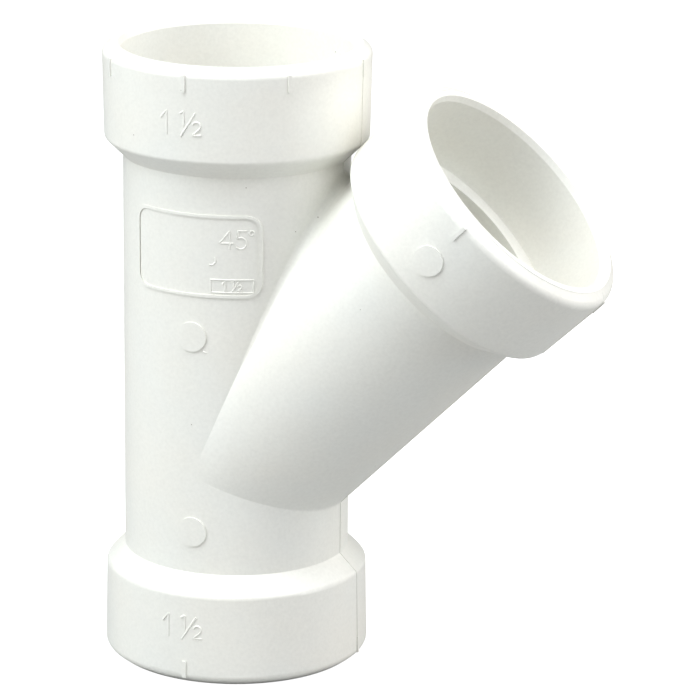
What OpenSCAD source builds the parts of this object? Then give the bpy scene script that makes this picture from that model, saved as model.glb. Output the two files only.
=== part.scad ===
// Forty-five degree drainage wye, moulded in one piece with three pipe sockets.
// The run stands along +Z on its lower socket and the branch leans towards +X.
// The mould parts on the XZ plane, and its ejectors and engraving are on the -Y half.
// Origin: centre of the lower mouth. Every size is in millimetres.

/* [Sockets] */
// Bore of each pipe socket
socket_d = 48.5; // [42:0.1:64]
// Depth of each socket, from its mouth to the pipe stop
socket_depth = 17.5; // [14:0.5:26]
// Radial widening of the lead-in at each mouth
lead_in = 0.5; // [0.2:0.1:1]
// Depth of the lead-in
lead_depth = 1.35; // [0.5:0.05:3]
// Width of the ledge that stops the pipe
stop_ledge = 4.15; // [3:0.05:6]

/* [Walls] */
// Wall of the run's two hubs at their mouths
hub_wall = 3.75; // [3.3:0.05:6]
// Wall of the branch hub at its mouth, the heaviest of the three
branch_hub_wall = 4.4; // [3.3:0.05:6]
// Wall of the two barrels
barrel_wall = 3.7; // [3:0.05:6]

/* [Hubs] */
// Radius that a run hub's outside loses to draft between its mouth and its shoulder
hub_draft = 0.35; // [0.1:0.05:1]
// Radius that the branch hub's outside loses to draft
branch_hub_draft = 0.5; // [0.1:0.05:1]
// Length of hub behind the pipe stop, before its shoulder starts
hub_back = 2; // [1:0.5:4]
// Length of the sloping shoulder between a hub and its barrel
shoulder_len = 3.8; // [2.5:0.1:5]
// Rounding of the edge between a hub and its shoulder
shoulder_round = 1.2; // [0.5:0.1:2]
// Width of the flat crest of each rim, just outside the lead-in
rim_crest = 1.4; // [0.6:0.1:2]
// How far the rest of a rim falls away to the hub's outside
rim_fall = 1.4; // [0.6:0.1:2]
// Rounding of the edge between a rim and the hub's outside
rim_round = 1.6; // [0.2:0.1:2]

/* [Layout] */
// Angle between the run and the branch
branch_angle = 45; // [45:1:60]
// Centre of the wye to the pipe stop of the lower socket
lower_lay = 27; // [25:0.5:40]
// Centre of the wye to the pipe stop of the upper socket
upper_lay = 69.8; // [68:0.1:90]
// Centre of the wye to the pipe stop of the branch socket
branch_lay = 69.8; // [68:0.1:90]
// Radius of the rolled fillet where the barrels meet
crotch_round = 2; // [1:0.1:2.5]

/* [Parting ridge] */
// Width of the ridge that the mould leaves on its parting plane
ridge_w = 0.5; // [0.3:0.1:1]
// Height of the ridge
ridge_h = 0.15; // [0.1:0.05:0.3]

/* [Alignment ticks] */
// Number of ticks round the upper hub
tick_count = 8; // [4:4:12]
// Number of ticks round each of the other two hubs
few_tick_count = 4; // [4:4:12]
// Width of a tick
tick_w = 0.8; // [0.5:0.1:1.5]
// Length of a tick, from the outer edge of the rim
tick_len = 3.6; // [2:0.1:6]
// Height of a tick
tick_h = 0.25; // [0.15:0.05:0.5]

/* [Ejector pads] */
// Diameter of the round pads that the ejector pins leave
pad_d = 6.3; // [4:0.1:8]
// Height of the pads
pad_h = 0.3; // [0.15:0.05:0.5]
// Height of the lower pad on the run
low_pad_z = 32.3; // [30:0.1:36]
// Height of the upper pad on the run
high_pad_z = 74.6; // [68:0.1:78]
// Distance of the branch hub's pad from its mouth
hub_pad_s = 12.2; // [9:0.1:14]

/* [Name field] */
// Width of the raised border round the name field, seen along the mould's draw
field_w = 27.8; // [20:0.1:34]
// Height of the border
field_h = 17.4; // [12:0.1:20]
// Outer radius of the border's corners
field_round = 3; // [1.5:0.1:5]
// Height of the field's centre above the lower mouth
field_z = 92; // [88:0.1:96]
// Width of the border's line
border_w = 0.6; // [0.4:0.1:1]
// Height of the border's line
border_h = 0.25; // [0.15:0.05:0.5]

/* [Hidden] */
$fn = 96;
eps = 0.01;
socket_r = socket_d / 2;
waterway_r = socket_r - stop_ledge;
barrel_r = waterway_r + barrel_wall;
hub_r = socket_r + hub_wall;
branch_hub_r = socket_r + branch_hub_wall;
crest_r = socket_r + lead_in + rim_crest;
hub_len = socket_depth + hub_back;
// Heights above the lower mouth, and the branch's reach from the centre of the wye
centre_z = lower_lay + socket_depth;
run_len = centre_z + upper_lay + socket_depth;
branch_len = branch_lay + socket_depth;
// The fillet is the surface that a ball leaves as it rolls along both barrels. It is sunk
// a little so that it bites, and more towards its two tails, where it runs out.
fillet_sink = 0.04;
fillet_tail = 0.3;
fillet_root = 1;
fillet_arc_steps = 6;
// How far round the run each fillet goes from its crotch, in degrees, and in how many steps
narrow_reach = 78;
narrow_steps = 36;
wide_reach = 64;
wide_steps = 24;
// How far a raised mark reaches down into the wall that carries it
mark_root = 1;
// How far a rounding's circle stands past its two sides, so that it surely cuts them
round_bite = 0.002;
// How far a cutter runs past what it cuts
overrun = 1;

function unit(v) = v / norm(v);
// How far from a corner a rounding touches its two sides, and the rounding's centre
function touch(a, b, r) = r * tan(acos(a * b) / 2);
function round_centre(corner, a, b, r) = corner - touch(a, b, r) * a + r * [-a[1], a[0]];

// Outline of half a hub, from its axis out, with its mouth at y = 0: the rim's flat crest, its
// sloping face, the drafted wall and the shoulder. Two corners are rounded by circles that
// touch both of their sides. Grown, it leaves out the rim and is the parting ridge's outline.
module hub_profile(r, draft, grow) {
    face = unit([r - crest_r, rim_fall]);
    wall = unit([-draft, hub_len - rim_fall]);
    slope = unit([barrel_r - r + draft, shoulder_len]);
    rim = [r, rim_fall];
    shoulder = [r - draft + grow, hub_len];
    at_rim = touch(face, wall, rim_round);
    at_shoulder = touch(wall, slope, shoulder_round);
    start = rim_fall + rim_round;
    rim_side = [[0, 0], [crest_r, 0], rim - at_rim * face, rim + at_rim * wall];
    ridge_side = [[0, start], [r + grow, start]];
    shoulder_side = [
        shoulder - at_shoulder * wall,
        shoulder + at_shoulder * slope,
        [barrel_r + grow, hub_len + shoulder_len],
        [0, hub_len + shoulder_len]
    ];
    polygon(concat(grow > 0 ? ridge_side : rim_side, shoulder_side));
    translate(round_centre(shoulder, wall, slope, shoulder_round))
        circle(r = shoulder_round + round_bite);
    if (grow == 0)
        translate(round_centre(rim, face, wall, rim_round))
            circle(r = rim_round + round_bite);
}

module run_hub(grow = 0) {
    rotate_extrude()
        hub_profile(hub_r, hub_draft, grow);
}

module branch_hub(grow = 0) {
    rotate_extrude()
        hub_profile(branch_hub_r, branch_hub_draft, grow);
}

// Inside of one hub, from beyond its mouth to the pipe stop
module hub_inside() {
    translate([0, 0, -overrun])
        cylinder(r = socket_r, h = socket_depth + overrun);
    translate([0, 0, -eps])
        cylinder(r1 = socket_r + lead_in * (1 + eps / lead_depth), r2 = socket_r, h = lead_depth + eps);
}

// Places a shape that is drawn with its mouth at z = 0 at each of the three mouths
module at_lower_mouth() {
    children();
}

module at_upper_mouth() {
    translate([0, 0, run_len])
        rotate([180, 0, 0])
            children();
}

module along_branch() {
    translate([0, 0, centre_z])
        rotate([0, branch_angle, 0])
            children();
}

module at_branch_mouth() {
    along_branch()
        translate([0, 0, branch_len])
            rotate([180, 0, 0])
                children();
}

module at_both_run_mouths() {
    at_lower_mouth() children();
    at_upper_mouth() children();
}

// Ball centre, then the two directions from it to the barrels, at an angle round the run.
// side is 1 in the narrow crotch above the branch and -1 in the wide one below it.
function rise(side) = side > 0 ? 1 / tan(branch_angle / 2) : -tan(branch_angle / 2);
function ball(a, side) = (barrel_r + crotch_round) * [cos(a), sin(a), rise(side) * cos(a)];
function to_run(a) = [cos(a), sin(a), 0];
function to_branch(a, side) =
    [-side * cos(branch_angle) * cos(a), sin(a), side * sin(branch_angle) * cos(a)];

// Angle between the two directions, and a direction part of the way from one to the other
function spread(a, side) = acos(to_run(a) * to_branch(a, side));
function between(a, side, t) =
    (sin((1 - t) * spread(a, side)) * to_run(a) + sin(t * spread(a, side)) * to_branch(a, side))
    / sin(spread(a, side));

// One section of the fillet: its root inside the wall, then the arc that the ball leaves
function root(a, side) =
    ball(a, side) - (crotch_round + fillet_root) / (1 + cos(spread(a, side)))
    * (to_run(a) + to_branch(a, side));
function sunk(a, reach) = crotch_round + fillet_sink + fillet_tail * pow(abs(a) / reach, 10);
function section(a, side, reach) = concat(
    [root(a, side)],
    [for (i = [0:fillet_arc_steps])
        ball(a, side) - sunk(a, reach) * between(a, side, i / fillet_arc_steps)]
);

// The fillet as one strip, swept from one flank of the wye over the crotch to the other
module crotch_fillet(side, reach, steps) {
    n = fillet_arc_steps + 2;
    points = [for (k = [0:steps]) each section(-reach + 2 * reach * k / steps, side, reach)];
    walls = [for (k = [0:steps - 1], j = [0:n - 1])
        let (a = k * n + j, b = k * n + (j + 1) % n)
        each [[a, b, a + n], [b, b + n, a + n]]];
    caps = [[for (j = [0:n - 1]) n - 1 - j], [for (j = [0:n - 1]) steps * n + j]];
    translate([0, 0, centre_z])
        polyhedron(points = points, faces = concat(walls, caps), convexity = 8);
}

// The ridge: a thin slice of the outside, grown by the ridge's height and stopped short of
// the rims, so that the wye still stands flat
module parting_ridge() {
    intersection() {
        translate([-2 * run_len, -ridge_w / 2, -run_len])
            cube([4 * run_len, ridge_w, 3 * run_len]);
        union() {
            translate([0, 0, hub_len])
                cylinder(r = barrel_r + ridge_h, h = run_len - 2 * hub_len);
            along_branch()
                cylinder(r = barrel_r + ridge_h, h = branch_len - hub_len);
            at_both_run_mouths() run_hub(ridge_h);
            at_branch_mouth() branch_hub(ridge_h);
        }
    }
}

// Ticks round a hub of the given radius, every one in line with the hub's axis
module hub_ticks(r, count) {
    for (k = [0:count - 1])
        rotate([0, 0, k * 360 / count])
            translate([r - mark_root, -tick_w / 2, rim_fall])
                cube([mark_root + tick_h, tick_w, tick_len]);
}

// A round pad on the -Y side of a barrel or hub of the given radius, at a height along it
module ejector_pad(radius, height) {
    intersection() {
        translate([0, 0, height])
            rotate([90, 0, 0])
                cylinder(d = pad_d, h = radius + overrun);
        translate([0, 0, height - pad_d])
            cylinder(r = radius + pad_h, h = 2 * pad_d);
    }
}

// A rectangle with round corners, from plain bars and discs
module rounded_rectangle(w, h, r) {
    square([w - 2 * r, h], center = true);
    square([w, h - 2 * r], center = true);
    for (x = [-1, 1], y = [-1, 1])
        translate([x * (w / 2 - r), y * (h / 2 - r)])
            circle(r = r);
}

// The border, drawn flat, carried along the mould's draw onto the run and trimmed to height.
// It starts halfway out to the wall, inside it even at the border's two ends.
module field_border() {
    inner_w = field_w - 2 * border_w;
    inner_h = field_h - 2 * border_w;
    intersection() {
        translate([0, -barrel_r / 2, field_z])
            rotate([90, 0, 0])
                linear_extrude(height = barrel_r)
                    difference() {
                        rounded_rectangle(field_w, field_h, field_round);
                        rounded_rectangle(inner_w, inner_h, field_round - border_w);
                    }
        translate([0, 0, field_z - field_h])
            cylinder(r = barrel_r + border_h, h = 2 * field_h);
    }
}

module outside() {
    cylinder(r = barrel_r, h = run_len - hub_len);
    along_branch()
        cylinder(r = barrel_r, h = branch_len - hub_len);
    at_both_run_mouths() run_hub();
    at_branch_mouth() branch_hub();
    at_lower_mouth() hub_ticks(hub_r, few_tick_count);
    at_upper_mouth() hub_ticks(hub_r, tick_count);
    at_branch_mouth() hub_ticks(branch_hub_r, few_tick_count);
    crotch_fillet(1, narrow_reach, narrow_steps);
    crotch_fillet(-1, wide_reach, wide_steps);
    parting_ridge();
    ejector_pad(barrel_r, low_pad_z);
    ejector_pad(barrel_r, high_pad_z);
    along_branch()
        ejector_pad(branch_hub_r - branch_hub_draft / 2, branch_len - hub_pad_s);
    field_border();
}

module inside() {
    translate([0, 0, socket_depth - overrun])
        cylinder(r = waterway_r, h = run_len - 2 * socket_depth + 2 * overrun);
    along_branch()
        cylinder(r = waterway_r, h = branch_lay + overrun);
    at_both_run_mouths() hub_inside();
    at_branch_mouth() hub_inside();
}

module wye_fitting() {
    color([0.93, 0.93, 0.91])
        difference() {
            outside();
            inside();
        }
}

wye_fitting();
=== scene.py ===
import bpy, bmesh, math
from mathutils import Matrix, Vector


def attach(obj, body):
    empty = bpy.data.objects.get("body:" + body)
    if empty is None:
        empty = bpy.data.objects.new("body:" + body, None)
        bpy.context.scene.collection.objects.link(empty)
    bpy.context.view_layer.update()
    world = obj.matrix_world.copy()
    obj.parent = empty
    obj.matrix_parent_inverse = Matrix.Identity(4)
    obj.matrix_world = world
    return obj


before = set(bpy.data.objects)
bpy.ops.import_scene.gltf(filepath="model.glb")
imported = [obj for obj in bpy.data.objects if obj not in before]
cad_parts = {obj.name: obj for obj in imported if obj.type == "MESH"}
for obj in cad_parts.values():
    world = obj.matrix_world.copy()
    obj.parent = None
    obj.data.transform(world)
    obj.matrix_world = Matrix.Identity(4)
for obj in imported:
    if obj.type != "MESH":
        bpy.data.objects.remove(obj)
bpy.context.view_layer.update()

# The view
# The camera stands a little to the right of square-on and looks slightly down, as a catalogue
# photographer's does. It is rolled by about half a degree.
view_azimuth, view_elevation, view_roll = 21.288, 16.472, 0.571
view_distance = 0.85137
view_aim_across, view_aim_height = 0.023865, 0.065525
view_lens = 207.327
clip_near, clip_far = 0.05, 20

azimuth, elevation = math.radians(view_azimuth), math.radians(view_elevation)
across = Vector((math.cos(azimuth), math.sin(azimuth), 0))
backward = Vector((math.sin(azimuth) * math.cos(elevation),
                   -math.cos(azimuth) * math.cos(elevation), math.sin(elevation)))
upward = backward.cross(across)
camera_data = bpy.data.cameras.new("view")
camera_data.lens = view_lens
camera_data.clip_start, camera_data.clip_end = clip_near, clip_far
camera = bpy.data.objects.new("view", camera_data)
bpy.context.scene.collection.objects.link(camera)
turned = Matrix((across, upward, backward)).transposed().to_4x4()
aim = across * view_aim_across + Vector((0, 0, view_aim_height))
camera.matrix_world = (Matrix.Translation(aim + backward * view_distance) @ turned
                       @ Matrix.Rotation(math.radians(view_roll), 4, "Z"))
bpy.context.scene.camera = camera

# The moulding
# One injection-moulded piece of white rigid PVC with a satin skin. Its white drifts a little
# between cool and warm and holds a few dark flecks, and the skin has the fine grain and slow
# waves of a cooled moulding.
cool_white, warm_white = (0.856, 0.860, 0.812, 1), (0.870, 0.860, 0.798, 1)
cloud_scale, cloud_detail, cloud_low, cloud_high = 45, 3, 0.35, 0.65
speck_scale, speck_detail, speck_low, speck_high = 1400, 2, 0.94, 1.06
fleck_brown, fleck_spacing = (0.30, 0.27, 0.22, 1), 0.0065
fleck_radius, fleck_core = 0.00016, 0.6
satin_scale, satin_detail, satin_low, satin_high = 135, 4, 0.34, 0.46
wave_scale, wave_detail, wave_height = 90, 2, 0.00006
grain_scale, grain_detail, grain_height = 1600, 3, 0.00002
pvc_ior = 1.5

pvc = bpy.data.materials.new("white_pvc")
pvc.use_nodes = True
nodes, links = pvc.node_tree.nodes, pvc.node_tree.links
nodes.clear()
place = nodes.new("ShaderNodeTexCoord")
mapping = nodes.new("ShaderNodeMapping")
links.new(place.outputs["Object"], mapping.inputs["Vector"])


def noise(scale, detail):
    node = nodes.new("ShaderNodeTexNoise")
    node.inputs["Scale"].default_value = scale
    node.inputs["Detail"].default_value = detail
    links.new(mapping.outputs["Vector"], node.inputs["Vector"])
    return node.outputs["Fac"]


clouds = nodes.new("ShaderNodeValToRGB")
cool_end, warm_end = clouds.color_ramp.elements
cool_end.position, cool_end.color = cloud_low, cool_white
warm_end.position, warm_end.color = cloud_high, warm_white
links.new(noise(cloud_scale, cloud_detail), clouds.inputs["Fac"])
specks = nodes.new("ShaderNodeMapRange")
specks.inputs["To Min"].default_value = speck_low
specks.inputs["To Max"].default_value = speck_high
links.new(noise(speck_scale, speck_detail), specks.inputs["Value"])
tint = nodes.new("ShaderNodeVectorMath")
tint.operation = "SCALE"
links.new(clouds.outputs["Color"], tint.inputs[0])
links.new(specks.outputs["Result"], tint.inputs["Scale"])
cells = nodes.new("ShaderNodeTexVoronoi")
cells.inputs["Scale"].default_value = 1 / fleck_spacing
links.new(mapping.outputs["Vector"], cells.inputs["Vector"])
fleck = nodes.new("ShaderNodeMapRange")
fleck.inputs["From Min"].default_value = fleck_radius / fleck_spacing
fleck.inputs["From Max"].default_value = fleck_core * fleck_radius / fleck_spacing
links.new(cells.outputs["Distance"], fleck.inputs["Value"])
flecked = nodes.new("ShaderNodeMixRGB")
flecked.inputs["Color2"].default_value = fleck_brown
links.new(fleck.outputs["Result"], flecked.inputs["Fac"])
links.new(tint.outputs["Vector"], flecked.inputs["Color1"])
satin = nodes.new("ShaderNodeMapRange")
satin.inputs["To Min"].default_value = satin_low
satin.inputs["To Max"].default_value = satin_high
links.new(noise(satin_scale, satin_detail), satin.inputs["Value"])
waves = nodes.new("ShaderNodeBump")
waves.inputs["Distance"].default_value = wave_height
links.new(noise(wave_scale, wave_detail), waves.inputs["Height"])
grain = nodes.new("ShaderNodeBump")
grain.inputs["Distance"].default_value = grain_height
links.new(noise(grain_scale, grain_detail), grain.inputs["Height"])
links.new(waves.outputs["Normal"], grain.inputs["Normal"])
shader = nodes.new("ShaderNodeBsdfPrincipled")
shader.inputs["IOR"].default_value = pvc_ior
links.new(flecked.outputs["Color"], shader.inputs["Base Color"])
links.new(satin.outputs["Result"], shader.inputs["Roughness"])
links.new(grain.outputs["Normal"], shader.inputs["Normal"])
output = nodes.new("ShaderNodeOutputMaterial")
links.new(shader.outputs["BSDF"], output.inputs["Surface"])

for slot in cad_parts["wye_fitting"].material_slots:
    slot.material = pvc

# The size numerals
# Both hubs of the run carry the nominal size, one and a half, engraved in the mould and so raised
# on the part. Every raised mark is a thin round line that is swept along its path on the wall.
mm = 0.001
numeral_radius, numeral_heights = 27.8, (12.4, 120.2)
numeral_width, numeral_proud = 0.50, 0.16
point_spacing, line_sides = 0.35, 12

raised_line = bpy.data.node_groups.new("raised_line", "GeometryNodeTree")
sockets = raised_line.interface
sockets.new_socket("Path", in_out="INPUT", socket_type="NodeSocketGeometry")
radius_input = sockets.new_socket("Line radius", in_out="INPUT", socket_type="NodeSocketFloat")
finish_input = sockets.new_socket("Finish", in_out="INPUT", socket_type="NodeSocketMaterial")
sockets.new_socket("Line", in_out="OUTPUT", socket_type="NodeSocketGeometry")
nodes, links = raised_line.nodes, raised_line.links
given = nodes.new("NodeGroupInput")
path = nodes.new("GeometryNodeMeshToCurve")
section = nodes.new("GeometryNodeCurvePrimitiveCircle")
section.inputs["Resolution"].default_value = line_sides
sweep = nodes.new("GeometryNodeCurveToMesh")
sweep.inputs["Fill Caps"].default_value = True
smooth = nodes.new("GeometryNodeSetShadeSmooth")
real = nodes.new("GeometryNodeRealizeInstances")
finish = nodes.new("GeometryNodeSetMaterial")
result = nodes.new("NodeGroupOutput")
links.new(given.outputs["Path"], path.inputs["Mesh"])
links.new(given.outputs["Line radius"], section.inputs["Radius"])
links.new(path.outputs["Curve"], sweep.inputs["Curve"])
links.new(section.outputs["Curve"], sweep.inputs["Profile Curve"])
links.new(sweep.outputs["Mesh"], smooth.inputs["Geometry"])
links.new(smooth.outputs["Geometry"], real.inputs["Geometry"])
links.new(real.outputs["Geometry"], finish.inputs["Geometry"])
links.new(given.outputs["Finish"], finish.inputs["Material"])
links.new(finish.outputs["Geometry"], result.inputs["Line"])


def raise_lines(name, paths, width):
    points, edges = [], []
    for line in paths:
        closed = (Vector(line[0]) - Vector(line[-1])).length < 0.000001 * mm
        line = line[:-1] if closed else line
        edges += [(len(points) + i, len(points) + i + 1) for i in range(len(line) - 1)]
        edges += [(len(points) + len(line) - 1, len(points))] if closed else []
        points += line
    piece = bpy.data.objects.new(name, bpy.data.meshes.new(name + "_path"))
    piece.data.from_pydata(points, edges, [])
    bpy.context.scene.collection.objects.link(piece)
    modifier = piece.modifiers.new("raised_line", "NODES")
    modifier.node_group = raised_line
    modifier[radius_input.identifier] = width / 2 * mm
    modifier[finish_input.identifier] = pvc
    evaluated = piece.evaluated_get(bpy.context.evaluated_depsgraph_get())
    lines = bpy.data.meshes.new_from_object(evaluated)
    piece.modifiers.clear()
    shape = bmesh.new()
    shape.from_mesh(lines)
    bmesh.ops.recalc_face_normals(shape, faces=shape.faces)
    shape.to_mesh(lines)
    shape.free()
    piece.data = lines
    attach(piece, "root")


def bend(stroke, centre, height, radius, sunk, scale=1.0):
    line = []
    for (u0, v0), (u1, v1) in zip(stroke[:-1], stroke[1:]):
        count = max(1, round(math.hypot(u1 - u0, v1 - v0) * scale / point_spacing))
        line += [(u0 + (u1 - u0) * i / count, v0 + (v1 - v0) * i / count) for i in range(count)]
    line.append(stroke[-1])
    return [((radius - sunk) * mm * math.sin((centre + u * scale) / radius),
             -(radius - sunk) * mm * math.cos((centre + u * scale) / radius),
             (height + v * scale) * mm) for u, v in line]


def arc(u, v, radius, first, last, steps):
    angles = [math.radians(first + (last - first) * i / steps) for i in range(steps + 1)]
    return [(u + radius * math.cos(a), v + radius * math.sin(a)) for a in angles]


one_and_a_half = [
    [(-5.2, 0.9), (-3.8, 2.6)],
    [(-3.8, 2.6), (-3.8, -2.5)],
    [(-0.9, 2.1), (0.05, 2.7)],
    [(0.05, 2.7), (0.05, -0.2)],
    [(2.55, 2.5), (-0.7, -2.6)],
    arc(2.8, -0.25, 0.85, 165, -38, 10) + [(1.95, -2.15), (3.75, -2.15)],
]
numerals = [bend(stroke, 0, height, numeral_radius, numeral_width / 2 - numeral_proud)
            for height in numeral_heights for stroke in one_and_a_half]
raise_lines("size_numerals", numerals, numeral_width)

# The field's numbers and pin marks
# Inside the raised border stand plain numbers, the branch's angle and the size again in a small
# frame. A mould pin has left a crescent, and a nick of the cutter shows below the field.
barrel_radius = 23.8
field_width, field_proud = 0.36, 0.15
angle_at, angle_height = 8.9, 95.6
size_at, size_height, size_scale = 8.8, 85.8, 0.44
frame_at, frame_width, frame_height = 8.5, 8.8, 2.7
crescent_at, crescent_height = 4.1, 91.2
forty_five_degrees = [
    [(-0.9, -1.9), (-0.9, 1.9), (-3.0, -0.7), (-0.2, -0.7)],
    [(2.5, 1.9), (0.8, 1.9), (0.6, 0.35)] + arc(1.35, -0.7, 1.2, 125, -140, 12),
    arc(3.6, 1.4, 0.5, 0, 360, 12),
]
corners = [(-0.5, -0.5), (0.5, -0.5), (0.5, 0.5), (-0.5, 0.5), (-0.5, -0.5)]
small_frame = [(u * frame_width, v * frame_height) for u, v in corners]
crescent = arc(0, 0, 1.0, -110, 40, 9)
nick = [(2.5, 71.6), (3.4, 71.45)]
sunk = field_width / 2 - field_proud
field_marks = [bend(stroke, angle_at, angle_height, barrel_radius, sunk) for stroke in forty_five_degrees]
field_marks += [bend(stroke, size_at, size_height, barrel_radius, sunk, size_scale)
                for stroke in one_and_a_half]
field_marks += [bend(small_frame, frame_at, size_height, barrel_radius, sunk)]
field_marks += [bend(crescent, crescent_at, crescent_height, barrel_radius, sunk)]
field_marks += [bend(nick, 0, 0, barrel_radius, sunk)]
raise_lines("field_marks", field_marks, field_width)

# The rim's witness lines
# Where the mould's halves and its core meet, a hair of plastic has crept out: a fine ring round
# the branch's rim, a hair over each rim on the parting plane, and a nub at the branch's foot.
run_length, centre_height, branch_length, branch_angle = 131.8, 44.5, 87.3, math.radians(45)
crest, fall = 26.15, 1.4
run_rim, branch_rim = 28.0, 28.65
ring_width, ring_steps = 0.14, 96
hair_width, hair_sunk, nub_width, nub_sunk = 0.35, 0.1, 0.9, 0.3

along_branch = Vector((math.sin(branch_angle), 0, math.cos(branch_angle)))
below_branch = Vector((math.cos(branch_angle), 0, -math.sin(branch_angle)))
branch_mouth = Vector((0, 0, centre_height)) + along_branch * branch_length
sideways, upright = Vector((1, 0, 0)), Vector((0, 0, 1))


def ring(centre, first, second, radius, steps):
    turns = [2 * math.pi * i / steps for i in range(steps + 1)]
    return [(centre + first * radius * math.cos(t) + second * radius * math.sin(t)) * mm for t in turns]


def over_rim(mouth, out, axis, rim, sunk):
    profile = [(crest + 0.2, 0.15), (rim - 0.59, fall - 0.45), (rim - 0.15, fall + 0.07),
               (rim - 0.01, fall + 0.75), (rim - 0.03, fall + 1.6)]
    return [(mouth + out * (r - sunk) - axis * (depth + sunk)) * mm for r, depth in profile]


rim_ring = ring(branch_mouth, below_branch, Vector((0, 1, 0)), crest, ring_steps)
raise_lines("branch_rim_ring", [rim_ring], ring_width)
top_mouth = upright * run_length
raise_lines("parting_hairs", [
    over_rim(top_mouth, sideways, upright, run_rim, hair_sunk),
    over_rim(top_mouth, -sideways, upright, run_rim, hair_sunk),
    over_rim(branch_mouth, -below_branch, along_branch, branch_rim, hair_sunk),
], hair_width)
nub = over_rim(branch_mouth, below_branch, along_branch, branch_rim, nub_sunk)
raise_lines("flash_nub", [nub], nub_width)

# The studio
# A sweep of paper that the camera sees as plain white, under eight soft square lamps. The
# strongest stand overhead and high at the left front, and those at the back light its edges.
ambient_strength, seen_strength = 0.01, 1.0
paper_grey, glow_strength = (0.40, 0.40, 0.40, 1), 0.93
white = (1, 1, 1, 1)

bpy.context.scene.view_settings.view_transform = "Standard"
world = bpy.data.worlds.new("studio")
bpy.context.scene.world = world
world.use_nodes = True
nodes, links = world.node_tree.nodes, world.node_tree.links
nodes.clear()
ambient = nodes.new("ShaderNodeBackground")
ambient.inputs["Color"].default_value = white
ambient.inputs["Strength"].default_value = ambient_strength
seen = nodes.new("ShaderNodeBackground")
seen.inputs["Color"].default_value = white
seen.inputs["Strength"].default_value = seen_strength
light_path = nodes.new("ShaderNodeLightPath")
mix = nodes.new("ShaderNodeMixShader")
output = nodes.new("ShaderNodeOutputWorld")
links.new(light_path.outputs["Is Camera Ray"], mix.inputs["Fac"])
links.new(ambient.outputs["Background"], mix.inputs[1])
links.new(seen.outputs["Background"], mix.inputs[2])
links.new(mix.outputs["Shader"], output.inputs["Surface"])

floor_size = 3.0
floor_mesh = bpy.data.meshes.new("floor")
half = floor_size / 2
floor_mesh.from_pydata([(-half, -half, 0), (half, -half, 0), (half, half, 0), (-half, half, 0)],
                       [], [(0, 1, 2, 3)])
floor = bpy.data.objects.new("floor", floor_mesh)
bpy.context.scene.collection.objects.link(floor)
floor_white = bpy.data.materials.new("floor_white")
floor_white.use_nodes = True
nodes, links = floor_white.node_tree.nodes, floor_white.node_tree.links
nodes.clear()
paper = nodes.new("ShaderNodeBsdfDiffuse")
paper.inputs["Color"].default_value = paper_grey
glow = nodes.new("ShaderNodeEmission")
glow.inputs["Strength"].default_value = glow_strength
add = nodes.new("ShaderNodeAddShader")
light_path = nodes.new("ShaderNodeLightPath")
mix = nodes.new("ShaderNodeMixShader")
output = nodes.new("ShaderNodeOutputMaterial")
links.new(paper.outputs["BSDF"], add.inputs[0])
links.new(glow.outputs["Emission"], add.inputs[1])
links.new(light_path.outputs["Is Camera Ray"], mix.inputs["Fac"])
links.new(paper.outputs["BSDF"], mix.inputs[1])
links.new(add.outputs["Shader"], mix.inputs[2])
links.new(mix.outputs["Shader"], output.inputs["Surface"])
floor_mesh.materials.append(floor_white)

# Each lamp has its name, place, size, power in watts and colour.
lamps_aim = Vector((0.02, 0, 0.06))
lamps = [
    ("overhead", (-0.10, -0.10, 0.90), 0.60, 5.2, (0.99, 1.0, 1.0)),
    ("left_front_high", (-0.50, -0.50, 0.75), 0.50, 5.3, (0.89, 0.95, 1.0)),
    ("left_front", (-0.60, -0.75, 0.45), 0.50, 3.2, (0.98, 1.0, 0.96)),
    ("front", (0.10, -0.75, 0.75), 0.50, 1.8, (0.98, 0.98, 1.0)),
    ("right", (0.98, -0.05, 0.35), 0.50, 2.3, (0.94, 1.0, 1.0)),
    ("right_high", (0.75, -0.10, 0.75), 0.50, 3.8, (0.98, 0.95, 1.0)),
    ("right_back", (0.65, 0.70, 0.50), 0.50, 3.3, (1.0, 1.0, 0.97)),
    ("right_back_low", (0.75, 0.70, 0.15), 0.40, 1.4, (1.0, 0.92, 0.84)),
]
for name, place, size, power, colour in lamps:
    lamp_data = bpy.data.lights.new(name, "AREA")
    lamp_data.shape = "SQUARE"
    lamp_data.size = size
    lamp_data.energy = power
    lamp_data.color = colour
    lamp = bpy.data.objects.new(name, lamp_data)
    bpy.context.scene.collection.objects.link(lamp)
    lamp.location = place
    lamp.rotation_mode = "QUATERNION"
    lamp.rotation_quaternion = (Vector(place) - lamps_aim).to_track_quat("Z", "Y")
